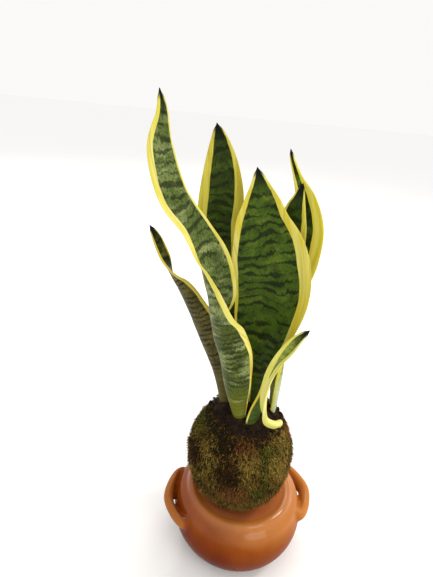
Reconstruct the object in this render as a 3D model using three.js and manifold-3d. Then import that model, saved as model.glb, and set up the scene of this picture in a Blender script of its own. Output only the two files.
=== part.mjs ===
// Snake plant kokedama: a variegated snake plant whose root ball is wrapped in moss,
// standing in a round-bellied earthenware pot with two lug handles.
//
// Millimetres, +Z up. The origin is the centre of the pot's flat foot, -Y is the front.
// The moss ball sits in the pot's dished mouth. The leaves stand on a short rhizome inside
// the soil and pass out through the soil's bare crown.

import * as THREE from 'three';
import { mergeVertices } from 'three/addons/utils/BufferGeometryUtils.js';
import Module from 'manifold-3d';

const wasm = await Module();
wasm.setup();

// ---- driving dimensions ----

const FIT_GAP = 0.3; // between pieces that rest on or in each other

// Pot: one fired piece.
const BELLY_RADIUS = 62.5;
const BELLY_HEIGHT = 35; // height of the widest ring
const BELLY_RISE = 50; // vertical half axis of the belly curve
const RIM_RADIUS = 46;
const RIM_HEIGHT = 66;
const RIM_ROUND = 5.4;
const MOUTH_RADIUS = 20;
const LEDGE_SLOPE = 0.5; // fall of the dished ledge for each millimetre in from the rim
const POT_WALL = 5;
const EDGE_ROUND = 1.5; // of the foot and of the mouth
const POT_SIDES = 48;
const WALL_RINGS = 7;

// Lug handles, one on each side of the belly.
const LUG_SPAN = 52; // between the middles of a strap's two ends
const LUG_OUT = 6.6; // from the widest ring out to the middle of the strap
const LUG_HEIGHT = 46;
const LUG_THICK = 8.8;
const LUG_DEEP = 14; // vertical size of the strap
const LUG_LEAN = 16; // degrees that the strap's upper edge leans out
const LUG_FLARE = 0.35; // how much stouter a strap is at its ends
const LUG_TURN = 10.5; // degrees that the pair is turned about the pot's axis
const LUG_RINGS = 18;
const LUG_FACETS = 12;

// Moss ball: soil inside, a skin of moss round it, open at the crown.
const BALL_X = -5;
const BALL_Y = -1;
const BALL_RADIUS = 50;
const BALL_HALF_HEIGHT = 57;
const SKIN_THICK = 6;
const BALL_DIP = 1; // how far the ball's lowest point hangs into the mouth
const FOOT_RADIUS = 26; // of the moss that is pressed down on to the ledge
const CROWN_RADIUS = 30;
const CROWN_SINK = 1.2; // the bare soil lies this much below the moss

// Rhizome: the short thick stem that carries the leaves.
const RHIZOME_LENGTH = 62;
const RHIZOME_WIDTH = 36;
const RHIZOME_HEIGHT = 22;
const RHIZOME_OFFSET = 7; // of its middle from the ball's axis, towards +X
const SOCKET_DEPTH = 4; // how far a leaf stands into it

// Leaves.
const LEAF_GROWTH = 1; // size of what shows above the moss
const ROOT_DEPTH = 30; // of a leaf's root end, below the top of the moss ball
const LEAF_THICK = 3.4; // through the midrib low down
const LEAF_THIN = 1.8; // through the midrib near the tip
const MARGIN_THICK = 1.2;
const LEAF_RINGS = 22;
const LEAF_FACETS = 4; // flats across one face of a blade

// ---- helpers ----

const glazed = new THREE.MeshStandardMaterial({ color: 0xb5622a, roughness: 0.28, metalness: 0 });
const moss = new THREE.MeshStandardMaterial({ color: 0x4a4a1e, roughness: 1, metalness: 0 });
const soil = new THREE.MeshStandardMaterial({ color: 0x2c1f14, roughness: 1, metalness: 0 });
const stem = new THREE.MeshStandardMaterial({ color: 0xb98a4c, roughness: 0.7, metalness: 0 });
const blade = new THREE.MeshStandardMaterial({ color: 0x3f5a2b, roughness: 0.45, metalness: 0 });

function toSolid(geometry) {
  const bare = geometry.clone();
  bare.deleteAttribute('normal');
  bare.deleteAttribute('uv');
  const merged = mergeVertices(bare, 1e-4);
  return new wasm.Manifold(new wasm.Mesh({
    numProp: 3,
    vertProperties: new Float32Array(merged.attributes.position.array),
    triVerts: new Uint32Array(merged.index.array),
  }));
}

function toGeometry(solid) {
  const mesh = solid.getMesh();
  const geometry = new THREE.BufferGeometry();
  geometry.setAttribute('position', new THREE.BufferAttribute(mesh.vertProperties, 3));
  geometry.setIndex(new THREE.BufferAttribute(mesh.triVerts, 1));
  geometry.computeVertexNormals();
  return geometry;
}

function named(name, geometry, material) {
  const mesh = new THREE.Mesh(geometry, material);
  mesh.name = name;
  return mesh;
}

function lathe(points, sides) {
  const geometry = new THREE.LatheGeometry(points.map(([r, z]) => new THREE.Vector2(r, z)), sides);
  return geometry.rotateX(Math.PI / 2);
}

// One smooth curve through a row of points.
function smooth(points) {
  return new THREE.CatmullRomCurve3(points, false, 'catmullrom', 0.5);
}

// ---- pot ----

// Radius of the belly curve at height z, less an inset for the inside.
function bellyRadius(z, inset) {
  const rise = (z - BELLY_HEIGHT) / (BELLY_RISE - inset);
  return (BELLY_RADIUS - inset) * Math.sqrt(Math.max(0, 1 - rise * rise));
}

// The belly bends in to the rim: this scales its upper half so that it meets RIM_RADIUS.
function wallRadius(z, inset) {
  const plain = bellyRadius(z, inset);
  if (z <= BELLY_HEIGHT) return plain;
  const share = (z - BELLY_HEIGHT) / (RIM_HEIGHT - BELLY_HEIGHT);
  const miss = RIM_RADIUS + RIM_ROUND - bellyRadius(RIM_HEIGHT, 0);
  return plain + miss * share * share;
}

// Height of the dished ledge's upper face at radius r.
function ledgeHeight(r) {
  return RIM_HEIGHT - RIM_ROUND / 2 - LEDGE_SLOPE * (RIM_RADIUS - RIM_ROUND - r);
}

function potProfile() {
  const ledgeEnd = wallRadius(RIM_HEIGHT, POT_WALL) - 2 * POT_WALL;
  const underLedge = ledgeHeight(ledgeEnd) - POT_WALL;
  const points = [[0, 0], [wallRadius(0, 0) - EDGE_ROUND, 0]];
  for (let ring = 0; ring <= WALL_RINGS; ring += 1) {
    const z = THREE.MathUtils.lerp(EDGE_ROUND, RIM_HEIGHT - 1.6 * RIM_ROUND, ring / WALL_RINGS);
    points.push([wallRadius(z, 0), z]);
  }
  for (const turn of [10, 40, 70, 100, 130]) {
    const angle = THREE.MathUtils.degToRad(turn);
    points.push([
      RIM_RADIUS + RIM_ROUND * Math.cos(angle),
      RIM_HEIGHT - RIM_ROUND + RIM_ROUND * Math.sin(angle),
    ]);
  }
  const mouthEnd = MOUTH_RADIUS + EDGE_ROUND;
  points.push([mouthEnd, ledgeHeight(mouthEnd)]);
  points.push([MOUTH_RADIUS, ledgeHeight(MOUTH_RADIUS) - POT_WALL / 2]);
  points.push([mouthEnd, ledgeHeight(mouthEnd) - POT_WALL]);
  points.push([ledgeEnd, underLedge]);
  for (let ring = 1; ring < WALL_RINGS; ring += 1) {
    const z = THREE.MathUtils.lerp(underLedge, POT_WALL, ring / WALL_RINGS);
    points.push([wallRadius(z, POT_WALL), z]);
  }
  points.push([wallRadius(POT_WALL, POT_WALL) - POT_WALL, POT_WALL]);
  points.push([0, POT_WALL]);
  return points;
}

// A lug is a strap bent round to a D. It swells towards both ends, which run into the belly.
function lug(side) {
  const half = LUG_SPAN / 2;
  const middle = BELLY_RADIUS + LUG_OUT;
  const buried = wallRadius(LUG_HEIGHT, POT_WALL / 2);
  const end = Math.sqrt(buried * buried - half * half);
  const path = smooth([
    new THREE.Vector3(end - 1, -half - 1, LUG_HEIGHT),
    new THREE.Vector3(end + POT_WALL, -half, LUG_HEIGHT),
    new THREE.Vector3(middle - LUG_THICK / 2, -half * 0.6, LUG_HEIGHT),
    new THREE.Vector3(middle, 0, LUG_HEIGHT),
    new THREE.Vector3(middle - LUG_THICK / 2, half * 0.6, LUG_HEIGHT),
    new THREE.Vector3(end + POT_WALL, half, LUG_HEIGHT),
    new THREE.Vector3(end - 1, half + 1, LUG_HEIGHT),
  ]);
  const lean = THREE.MathUtils.degToRad(LUG_LEAN);
  const positions = [];
  const index = [];
  for (let ring = 0; ring <= LUG_RINGS; ring += 1) {
    const t = ring / LUG_RINGS;
    const tangent = path.getTangent(t);
    const out = new THREE.Vector3(tangent.y, -tangent.x, 0).normalize();
    const swell = 1 + LUG_FLARE * Math.abs(2 * t - 1) ** 3;
    for (let corner = 0; corner < LUG_FACETS; corner += 1) {
      const angle = (2 * Math.PI * corner) / LUG_FACETS;
      const wide = (swell * LUG_THICK * Math.cos(angle)) / 2;
      const tall = (swell * LUG_DEEP * Math.sin(angle)) / 2;
      const point = path.getPoint(t);
      point.addScaledVector(out, wide * Math.cos(lean) + tall * Math.sin(lean));
      point.z += tall * Math.cos(lean) - wide * Math.sin(lean);
      positions.push(...point.toArray());
      if (ring === LUG_RINGS) continue;
      const a = ring * LUG_FACETS + corner;
      const b = ring * LUG_FACETS + ((corner + 1) % LUG_FACETS);
      index.push(a, a + LUG_FACETS, b, b, a + LUG_FACETS, b + LUG_FACETS);
    }
  }
  const last = LUG_RINGS * LUG_FACETS;
  for (let corner = 1; corner < LUG_FACETS - 1; corner += 1) {
    index.push(0, corner, corner + 1, last, last + corner + 1, last + corner);
  }
  const geometry = new THREE.BufferGeometry();
  geometry.setAttribute('position', new THREE.Float32BufferAttribute(positions, 3));
  geometry.setIndex(index);
  return toSolid(geometry.rotateZ(THREE.MathUtils.degToRad(LUG_TURN) + (side < 0 ? Math.PI : 0)));
}

function pot() {
  const body = toSolid(lathe(potProfile(), POT_SIDES));
  return named('pot', toGeometry(body.add(lug(1)).add(lug(-1))), glazed);
}

// ---- leaves ----

const BALL_CENTRE = new THREE.Vector3(
  BALL_X, BALL_Y, ledgeHeight(MOUTH_RADIUS) - BALL_DIP + BALL_HALF_HEIGHT,
);
const BALL_TOP = new THREE.Vector3(0, 0, BALL_HALF_HEIGHT).add(BALL_CENTRE);

// A leaf is a row of cross sections. Each station is the middle of the blade, from the root
// to the tip, measured from the top of the moss ball:
//   [x, y, z, half, face, cup]
// half is half the width of the blade laid flat, face the direction that its hollow side
// faces, in degrees from +X, and cup the half angle that the blade is rolled through.

const LEAVES = {
  tall_wavy_leaf: [
    [-2, -7, -ROOT_DEPTH, 5, 80, 65],
    [-7, -17, -4, 7.5, 76, 72],
    [-14, -25, 29, 15.5, 70, 80],
    [-21, -29, 59, 20, 58, 80],
    [-31, -29, 79, 24, 34, 80],
    [-37, -27, 94, 28, 6, 80],
    [-40, -23, 112, 26, -15, 74],
    [-44, -15, 134, 18, -42, 60],
    [-55, -11, 156, 11.5, -58, 45],
    [-73, -8, 179, 11, -70, 35],
    [-82, -9, 209, 9, -75, 30],
    [-81, -11, 231, 4, -75, 30],
    [-83, -11, 245, 0.8, -75, 30],
  ],
  broad_front_leaf: [
    [10, -7, -ROOT_DEPTH, 7, 172, 70],
    [10, -12, -6, 15, 172, 80],
    [14, -5, 24, 18, 195, 76],
    [11, 5, 49, 24, 224, 66],
    [9, 8, 74, 28, 247, 50],
    [9, 9, 102, 31, 260, 40],
    [5, 8, 124, 31, 265, 32],
    [-1, 7, 144, 28, 267, 28],
    [-7, 5, 162, 21, 268, 25],
    [-10, 3, 177, 14, 270, 22],
    [-13, 2, 190, 6.5, 270, 20],
    [-16, 1, 201, 0.8, 270, 20],
  ],
  back_left_leaf: [
    [-2, 8, -ROOT_DEPTH, 5, -80, 62],
    [-4, 13, -6, 7, -80, 64],
    [-8, 18, 19, 9.5, -80, 56],
    [-15, 21, 49, 13, -80, 52],
    [-27, 25, 84, 15, -82, 44],
    [-35, 27, 119, 17.5, -85, 38],
    [-39, 27, 149, 18, -88, 34],
    [-39, 26, 174, 17.5, -90, 30],
    [-41, 25, 196, 13, -90, 26],
    [-44, 25, 213, 7, -90, 24],
    [-47, 25, 225, 0.8, -90, 24],
  ],
  back_right_leaf: [
    [23, 3, -ROOT_DEPTH, 5, 180, 65],
    [26, 4, -5, 8, 180, 70],
    [27, 8, 24, 12, 188, 68],
    [26, 13, 49, 14, 200, 60],
    [25, 18, 79, 15, 222, 50],
    [27, 22, 109, 16, 238, 45],
    [31, 25, 131, 15.5, 245, 42],
    [32, 26, 154, 13, 248, 38],
    [26, 27, 176, 8.5, 250, 34],
    [17, 26, 192, 3.5, 250, 30],
    [11, 25, 204, 1.8, 250, 28],
    [8, 25, 212, 0.7, 250, 28],
  ],
  right_inner_leaf: [
    [10, 10, -ROOT_DEPTH, 4, -95, 60],
    [11, 14, -6, 6, -98, 64],
    [12, 18, 24, 8, -100, 58],
    [13, 19, 54, 10.5, -102, 50],
    [15, 19, 89, 13, -105, 42],
    [17, 18, 124, 13.5, -108, 36],
    [17, 15, 152, 12.5, -110, 32],
    [17, 13, 170, 8.5, -110, 28],
    [18, 12, 182, 4, -110, 26],
    [19, 12, 191, 0.7, -110, 26],
  ],
  curled_young_leaf: [
    [29, -2, -ROOT_DEPTH, 4, 150, 70],
    [32, -9, -15, 4, 150, 80],
    [25, -19, -8, 4.2, 150, 85],
    [17, -25, 1, 4.2, 160, 85],
    [13, -27, 13, 4.2, 190, 85],
    [11, -27, 29, 4.2, 215, 80],
    [12, -26, 46, 4.6, 232, 76],
    [17, -24, 61, 5.2, 240, 68],
    [24, -23, 73, 5.6, 238, 60],
    [30, -22, 82, 4, 235, 55],
    [37, -21, 89, 0.8, 235, 50],
  ],
  left_low_leaf: [
    [-14, -1, -ROOT_DEPTH, 4.5, 80, 62],
    [-18, 2, -5, 7.5, 80, 62],
    [-25, 5, 24, 10.5, 75, 55],
    [-38, 9, 52, 13, 66, 50],
    [-50, 9, 77, 12.5, 60, 48],
    [-62, 7, 99, 9.5, 52, 45],
    [-70, 5, 110, 7, 34, 45],
    [-75, 3, 120, 5.5, 0, 45],
    [-79, 1, 131, 4.5, -50, 40],
    [-84, 0, 144, 3.4, -75, 34],
    [-89, -1, 153, 0.7, -75, 30],
  ],
};

// What stands above the moss grows by LEAF_GROWTH, and the root end stays in its socket.
function growth([, , z]) {
  return z > 0 ? LEAF_GROWTH : 1;
}

// grow thickens the blade on every side, for the pocket that the leaf stands in.
function leafGeometry(stations, grow = 0) {
  const spine = smooth(stations.map((station) => {
    const [x, y, z] = station;
    return new THREE.Vector3(x, y, z).multiplyScalar(growth(station)).add(BALL_TOP);
  }));
  const shape = smooth(stations.map((station) => {
    const [, , , half, face, cup] = station;
    return new THREE.Vector3(half * growth(station), face, cup);
  }));
  const across = 2 * (LEAF_FACETS + 1);
  const positions = [];
  for (let ring = 0; ring <= LEAF_RINGS; ring += 1) {
    const t = ring / LEAF_RINGS;
    const middle = spine.getPoint(t);
    const { x: half, y: face, z: cup } = shape.getPoint(t);
    const tangent = spine.getTangent(t);
    if (ring === 0) middle.addScaledVector(tangent, -grow);
    const facing = THREE.MathUtils.degToRad(face);
    const hollow = new THREE.Vector3(Math.cos(facing), Math.sin(facing), 0);
    hollow.addScaledVector(tangent, -hollow.dot(tangent)).normalize();
    const side = new THREE.Vector3().crossVectors(tangent, hollow);
    const roll = THREE.MathUtils.degToRad(cup);
    const bend = (half + grow) / roll;
    const midThick = THREE.MathUtils.lerp(LEAF_THICK, LEAF_THIN, t);
    for (let corner = 0; corner < across; corner += 1) {
      const inner = corner <= LEAF_FACETS;
      const step = inner ? corner : across - 1 - corner;
      const s = (2 * step) / LEAF_FACETS - 1;
      const full = THREE.MathUtils.lerp(midThick, MARGIN_THICK, s * s);
      const thick = Math.min(full, 0.5 * half + 0.4) / 2 + grow;
      const reach = inner ? bend - thick : bend + thick;
      const angle = roll * s;
      positions.push(...middle.clone()
        .addScaledVector(side, reach * Math.sin(angle))
        .addScaledVector(hollow, bend - reach * Math.cos(angle))
        .toArray());
    }
  }
  const index = [];
  for (let ring = 0; ring < LEAF_RINGS; ring += 1) {
    for (let corner = 0; corner < across; corner += 1) {
      const next = (corner + 1) % across;
      const a = ring * across + corner;
      const b = ring * across + next;
      index.push(a, b, a + across, b, b + across, a + across);
    }
  }
  const last = LEAF_RINGS * across;
  for (let step = 0; step < LEAF_FACETS; step += 1) {
    const far = across - 1 - step;
    index.push(step, far, step + 1, step + 1, far, far - 1);
    index.push(last + step, last + step + 1, last + far);
    index.push(last + step + 1, last + far - 1, last + far);
  }
  const geometry = new THREE.BufferGeometry();
  geometry.setAttribute('position', new THREE.Float32BufferAttribute(positions, 3));
  geometry.setIndex(index);
  geometry.computeVertexNormals();
  return geometry;
}

function leaves() {
  return Object.entries(LEAVES).map(([name, stations]) => named(name, leafGeometry(stations), blade));
}

// ---- moss ball ----

function ellipsoid(inset, widthSides, heightSides) {
  const geometry = new THREE.SphereGeometry(1, widthSides, heightSides).rotateX(Math.PI / 2);
  geometry.scale(BALL_RADIUS - inset, BALL_RADIUS - inset, BALL_HALF_HEIGHT - inset);
  return toSolid(geometry.translate(...BALL_CENTRE.toArray()));
}

// A plug through the open crown, from the ball's middle to above its top.
function crownPlug(radius) {
  const height = 1.2 * BALL_HALF_HEIGHT;
  const geometry = new THREE.CylinderGeometry(radius, radius, height, 28).rotateX(Math.PI / 2);
  return toSolid(geometry.translate(BALL_CENTRE.x, BALL_CENTRE.y, BALL_CENTRE.z + height / 2));
}

function leafPockets() {
  return Object.values(LEAVES).map((stations) => toSolid(leafGeometry(stations, FIT_GAP)));
}

// The moss under the ball, pressed down on to the ledge that carries it.
function pressedMoss() {
  const bottom = ledgeHeight(MOUTH_RADIUS);
  const top = bottom + 3 * SKIN_THICK;
  return toSolid(lathe([[0, bottom], [FOOT_RADIUS, bottom], [FOOT_RADIUS, top], [0, top]], 28));
}

// The pot's ledge with the gap that keeps the moss off it.
function ledgeBlock() {
  const inside = MOUTH_RADIUS - FIT_GAP;
  const outside = RIM_RADIUS + RIM_ROUND;
  return toSolid(lathe([
    [inside, ledgeHeight(inside) + FIT_GAP],
    [inside, ledgeHeight(inside) - POT_WALL],
    [outside, ledgeHeight(inside) - POT_WALL],
    [outside, ledgeHeight(outside) + FIT_GAP],
    [inside, ledgeHeight(inside) + FIT_GAP],
  ], 40));
}

function mossSkin() {
  let skin = ellipsoid(0, 32, 20).add(pressedMoss()).subtract(ledgeBlock());
  skin = skin.subtract(ellipsoid(SKIN_THICK, 28, 16)).subtract(crownPlug(CROWN_RADIUS));
  leafPockets().forEach((pocket) => { skin = skin.subtract(pocket); });
  return named('moss_skin', toGeometry(skin), moss);
}

function rhizomeSolid(grow) {
  const top = BALL_TOP.z - ROOT_DEPTH + SOCKET_DEPTH;
  const geometry = new THREE.SphereGeometry(1, 16, 8).rotateX(Math.PI / 2);
  geometry.scale(RHIZOME_LENGTH / 2 + grow, RHIZOME_WIDTH / 2 + grow, RHIZOME_HEIGHT / 2 + grow);
  geometry.translate(BALL_CENTRE.x + RHIZOME_OFFSET, BALL_CENTRE.y, top - RHIZOME_HEIGHT / 2);
  return toSolid(geometry);
}

function soilCore() {
  const inside = ellipsoid(SKIN_THICK + FIT_GAP, 28, 16);
  const crown = ellipsoid(CROWN_SINK, 28, 16).intersect(crownPlug(CROWN_RADIUS - FIT_GAP));
  let core = inside.add(crown).subtract(rhizomeSolid(FIT_GAP));
  leafPockets().forEach((pocket) => { core = core.subtract(pocket); });
  return named('soil_core', toGeometry(core), soil);
}

function rhizome() {
  let solid = rhizomeSolid(0);
  leafPockets().forEach((pocket) => { solid = solid.subtract(pocket); });
  return named('rhizome', toGeometry(solid), stem);
}

const plant = new THREE.Group();
plant.add(pot(), mossSkin(), soilCore(), rhizome(), ...leaves());

export default plant;
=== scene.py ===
# Snake plant kokedama in a lugged pot: the looks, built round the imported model.
# Metres, +Z up, the same frame as the solids. Sizes are written in millimetres and scaled by MM.

import math
import random

import bpy
import numpy as np
from mathutils import Matrix, Vector, noise


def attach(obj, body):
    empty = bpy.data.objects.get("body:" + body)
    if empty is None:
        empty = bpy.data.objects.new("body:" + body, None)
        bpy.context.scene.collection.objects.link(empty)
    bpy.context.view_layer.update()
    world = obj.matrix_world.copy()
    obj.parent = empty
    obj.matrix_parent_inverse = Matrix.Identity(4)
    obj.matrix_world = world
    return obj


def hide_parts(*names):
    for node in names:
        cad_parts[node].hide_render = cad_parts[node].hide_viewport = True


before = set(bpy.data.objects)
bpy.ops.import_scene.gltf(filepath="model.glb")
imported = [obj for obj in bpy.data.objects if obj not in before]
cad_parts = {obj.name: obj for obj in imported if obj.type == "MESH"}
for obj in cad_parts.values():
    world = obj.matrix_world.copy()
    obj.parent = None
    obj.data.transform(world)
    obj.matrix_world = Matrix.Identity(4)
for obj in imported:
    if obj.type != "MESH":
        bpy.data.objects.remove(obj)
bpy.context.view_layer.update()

MM = 0.001

# ---- camera ----
# A short lens at arm's length, looking down at the plant from the front, held with a slight roll.
# Places are in metres, the lens and its sensor in millimetres.

CAMERA_PLACE = (-0.041, -0.306, 0.418)
CAMERA_PITCH = math.radians(25.5)
CAMERA_ROLL = math.radians(5.5)
CAMERA_LENS, SENSOR_WIDTH = 27.08, 36.0

camera_data = bpy.data.cameras.new("camera")
camera_data.sensor_width = SENSOR_WIDTH
camera_data.lens = CAMERA_LENS
camera_data.clip_start = 0.01
camera_data.clip_end = 50.0
camera = bpy.data.objects.new("camera", camera_data)
bpy.context.scene.collection.objects.link(camera)
camera.matrix_world = (
    Matrix.Translation(CAMERA_PLACE)
    @ Matrix.Rotation(math.radians(90) - CAMERA_PITCH, 4, "X")
    @ Matrix.Rotation(CAMERA_ROLL, 4, "Z")
)
bpy.context.scene.camera = camera

# ---- floor and studio light ----
# A sheet of matt white card, a wide soft box overhead and behind, and two soft boxes in front.
# The white of the card and of the room fills the shadows.


def linear(hex_colour):
    """sRGB hex, such as "c9762f", to linear RGBA."""
    parts = [int(hex_colour[i:i + 2], 16) / 255 for i in (0, 2, 4)]
    curve = [c / 12.92 if c <= 0.04045 else ((c + 0.055) / 1.055) ** 2.4 for c in parts]
    return (*curve, 1.0)


def add_node(tree, kind, inputs=None, stops=None, **settings):
    """Adds a node, sets it, and links or sets its inputs. stops is a colour ramp's list."""
    made = tree.nodes.new(kind)
    for name, value in settings.items():
        setattr(made, name, value)
    for name, value in (inputs or {}).items():
        if isinstance(value, bpy.types.NodeSocket):
            tree.links.new(value, made.inputs[name])
        else:
            made.inputs[name].default_value = value
    if stops:
        ramp = made.color_ramp
        while len(ramp.elements) < len(stops):
            ramp.elements.new(0.5)
        for element, (place, colour) in zip(ramp.elements, stops):
            element.position = place
            element.color = linear(colour)
    return made


def new_material(name):
    """An empty material and its node tree."""
    made = bpy.data.materials.new(name)
    made.use_nodes = True
    made.node_tree.nodes.clear()
    return made, made.node_tree


def finish_material(tree, shader):
    """Makes the shader the material's surface."""
    add_node(tree, "ShaderNodeOutputMaterial", {"Surface": shader.outputs[0]})


def new_object(name, mesh, smooth=True):
    """Puts a mesh in the scene as a piece of its own."""
    made = bpy.data.objects.new(name, mesh)
    bpy.context.scene.collection.objects.link(made)
    if smooth:
        mesh.polygons.foreach_set("use_smooth", [True] * len(mesh.polygons))
    return made


FLOOR_HALF = 6.0

floor_mesh = bpy.data.meshes.new("floor")
floor_mesh.from_pydata(
    [(x * FLOOR_HALF, y * FLOOR_HALF, 0) for x, y in ((-1, -1), (1, -1), (1, 1), (-1, 1))],
    [], [(0, 1, 2, 3)],
)
floor = new_object("floor", floor_mesh, smooth=False)
# Uncoated card: even, with hardly any gloss.
card, tree = new_material("matt_white_card")
card_tone = add_node(tree, "ShaderNodeTexNoise", {"Scale": 3.0, "Detail": 2.0})
card_ramp = add_node(tree, "ShaderNodeValToRGB", {"Fac": card_tone.outputs["Fac"]},
                     stops=[(0.3, "fbfbfa"), (0.7, "fdfdfc")])
finish_material(tree, add_node(tree, "ShaderNodeBsdfPrincipled", {
    "Base Color": card_ramp.outputs["Color"], "Roughness": 0.9, "Specular IOR Level": 0.2}))
floor_mesh.materials.append(card)

ROOM_WHITE, ROOM_STRENGTH = "fffefd", 0.96
world = bpy.data.worlds.new("room")
world.use_nodes = True
room = world.node_tree.nodes["Background"]
room.inputs["Color"].default_value = linear(ROOM_WHITE)
room.inputs["Strength"].default_value = ROOM_STRENGTH
bpy.context.scene.world = world
bpy.context.scene.view_settings.view_transform = "Standard"

# Each soft box: its place, what it points at, width and height in metres, watts and colour.
SOFT_BOXES = {
    "overhead_soft_box": ((0.3, 0.7, 1.2), (0, 0, 0.15), 0.7, 0.5, 3.0, "fffaf2"),
    "back_soft_box": ((-0.45, 1.4, 1.15), (0, 0, 0.08), 0.45, 0.35, 5.0, "fffaf4"),
    "side_soft_box": ((0.82, 0.2, 1.02), (0.03, -0.03, 0.06), 0.2, 0.36, 4.5, "fff2ea"),
    "front_soft_box": ((0.7, -0.9, 1.1), (0, 0, 0.2), 0.7, 0.7, 3.6, "fffaf2"),
}
for name, (place, target, width, height, watts, colour) in SOFT_BOXES.items():
    lamp = bpy.data.lights.new(name, "AREA")
    lamp.shape = "RECTANGLE"
    lamp.size = width
    lamp.size_y = height
    lamp.energy = watts
    lamp.color = linear(colour)[:3]
    box = bpy.data.objects.new(name, lamp)
    bpy.context.scene.collection.objects.link(box)
    box.location = place
    box.rotation_euler = (Vector(target) - Vector(place)).to_track_quat("-Z", "Y").to_euler()

# ---- pot ----
# Red earthenware thrown on a wheel, with a rolled rim, a dished ledge and a strap lug pressed on
# each side, dipped in a honey-orange glaze that is thick and glossy. It runs darker down the belly
# and on the left, partly in its own tone and partly as painted shade.

BELLY_RADIUS, BELLY_HEIGHT, BELLY_RISE = 62.5, 35.0, 50.0
RIM_RADIUS, RIM_HEIGHT, RIM_ROUND = 46.0, 66.0, 5.4
MOUTH_RADIUS, LEDGE_SLOPE, POT_WALL, EDGE_ROUND = 20.0, 0.5, 5.0, 1.5
LUG_SPAN, LUG_OUT, LUG_HEIGHT, LUG_THICK, LUG_DEEP = 52.0, 6.6, 46.0, 8.8, 15.0
LUG_LEAN, LUG_FLARE, LUG_TURN = 20.0, 0.35, 10.5
POT_SIDES = 180
WALL_RINGS = 24
LUG_RINGS = 48
LUG_SIDES = 20
# The joints of the lugs are luted and wiped smooth with a sponge; the foot stays flat.
CLAY_VOXEL, SPONGE_PASSES, FOOT_BAND = 1.05, 13, 8.0


def wall_radius(z, inset):
    """The belly's radius at height z, this far inside its face."""
    rise = (z - BELLY_HEIGHT) / (BELLY_RISE - inset)
    plain = (BELLY_RADIUS - inset) * math.sqrt(max(0.0, 1 - rise * rise))
    if z <= BELLY_HEIGHT:
        return plain
    share = (z - BELLY_HEIGHT) / (RIM_HEIGHT - BELLY_HEIGHT)
    top = (RIM_HEIGHT - BELLY_HEIGHT) / BELLY_RISE
    miss = RIM_RADIUS + RIM_ROUND - BELLY_RADIUS * math.sqrt(1 - top * top)
    return plain + miss * share * share


def ledge_height(r):
    """The ledge's height at radius r: it falls towards the mouth."""
    return RIM_HEIGHT - RIM_ROUND / 2 - LEDGE_SLOPE * (RIM_RADIUS - RIM_ROUND - r)


def pot_profile():
    """Half of the pot's section: foot, belly, rolled rim, ledge, mouth and back down inside."""
    ledge_end = wall_radius(RIM_HEIGHT, POT_WALL) - 2 * POT_WALL
    under_ledge = ledge_height(ledge_end) - POT_WALL
    points = [(0, 0), (wall_radius(0, 0) - EDGE_ROUND, 0)]
    for i in range(WALL_RINGS + 1):
        z = EDGE_ROUND + (RIM_HEIGHT - 1.6 * RIM_ROUND - EDGE_ROUND) * i / WALL_RINGS
        points.append((wall_radius(z, 0), z))
    for turn in range(10, 131, 10):
        angle = math.radians(turn)
        points.append((RIM_RADIUS + RIM_ROUND * math.cos(angle),
                       RIM_HEIGHT - RIM_ROUND + RIM_ROUND * math.sin(angle)))
    mouth_end = MOUTH_RADIUS + EDGE_ROUND
    points.append((mouth_end, ledge_height(mouth_end)))
    for turn in range(120, 241, 20):
        angle = math.radians(turn)
        points.append((mouth_end + EDGE_ROUND * math.cos(angle) / 0.9,
                       ledge_height(mouth_end) - POT_WALL / 2 + POT_WALL / 2 * math.sin(angle)))
    points.append((ledge_end, under_ledge))
    for i in range(1, WALL_RINGS):
        z = under_ledge + (POT_WALL - under_ledge) * i / WALL_RINGS
        points.append((wall_radius(z, POT_WALL), z))
    points.append((wall_radius(POT_WALL, POT_WALL) - POT_WALL, POT_WALL))
    points.append((0, POT_WALL))
    return points


def loops_to_mesh(name, loops, joined=False):
    """A skin over a row of rings with as many points each, in millimetres. The last ring is joined
    to the first, or else both ends are capped."""
    rings, around = len(loops), len(loops[0])
    points = np.array(loops, dtype=float).reshape(-1, 3) * MM
    faces = []
    for i in range(rings if joined else rings - 1):
        here, ahead = i * around, (i + 1) % rings * around
        for j in range(around):
            k = (j + 1) % around
            faces.append((here + j, here + k, ahead + k, ahead + j))
    if not joined:
        faces.append(tuple(reversed(range(around))))
        faces.append(tuple(range((rings - 1) * around, rings * around)))
    made = bpy.data.meshes.new(name)
    made.from_pydata(points.tolist(), [], faces)
    made.validate()
    return made


def turned_mesh(name, profile, sides):
    """A wheel-thrown body: the profile, which starts and ends on the axis, turned all the way."""
    rings = [p for p in profile if p[0] > 0]
    angles = [2 * math.pi * j / sides for j in range(sides)]
    loops = [[(r * math.cos(a), r * math.sin(a), z) for a in angles] for r, z in rings]
    return loops_to_mesh(name, loops)


def catmull(values, share):
    """A smooth curve through rows of numbers, at share 0 to 1 of its length in rows."""
    last = len(values) - 1
    place = share * last
    i = min(int(place), last - 1)
    w = place - i
    p1, p2 = values[i], values[i + 1]
    p0 = values[i - 1] if i > 0 else 2 * p1 - p2
    p3 = values[i + 2] if i + 2 <= last else 2 * p2 - p1
    a, b = (p2 - p0) / 2, (p3 - p1) / 2
    return ((2 * p1 - 2 * p2 + a + b) * w ** 3 + (-3 * p1 + 3 * p2 - 2 * a - b) * w ** 2
            + a * w + p1)


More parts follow.
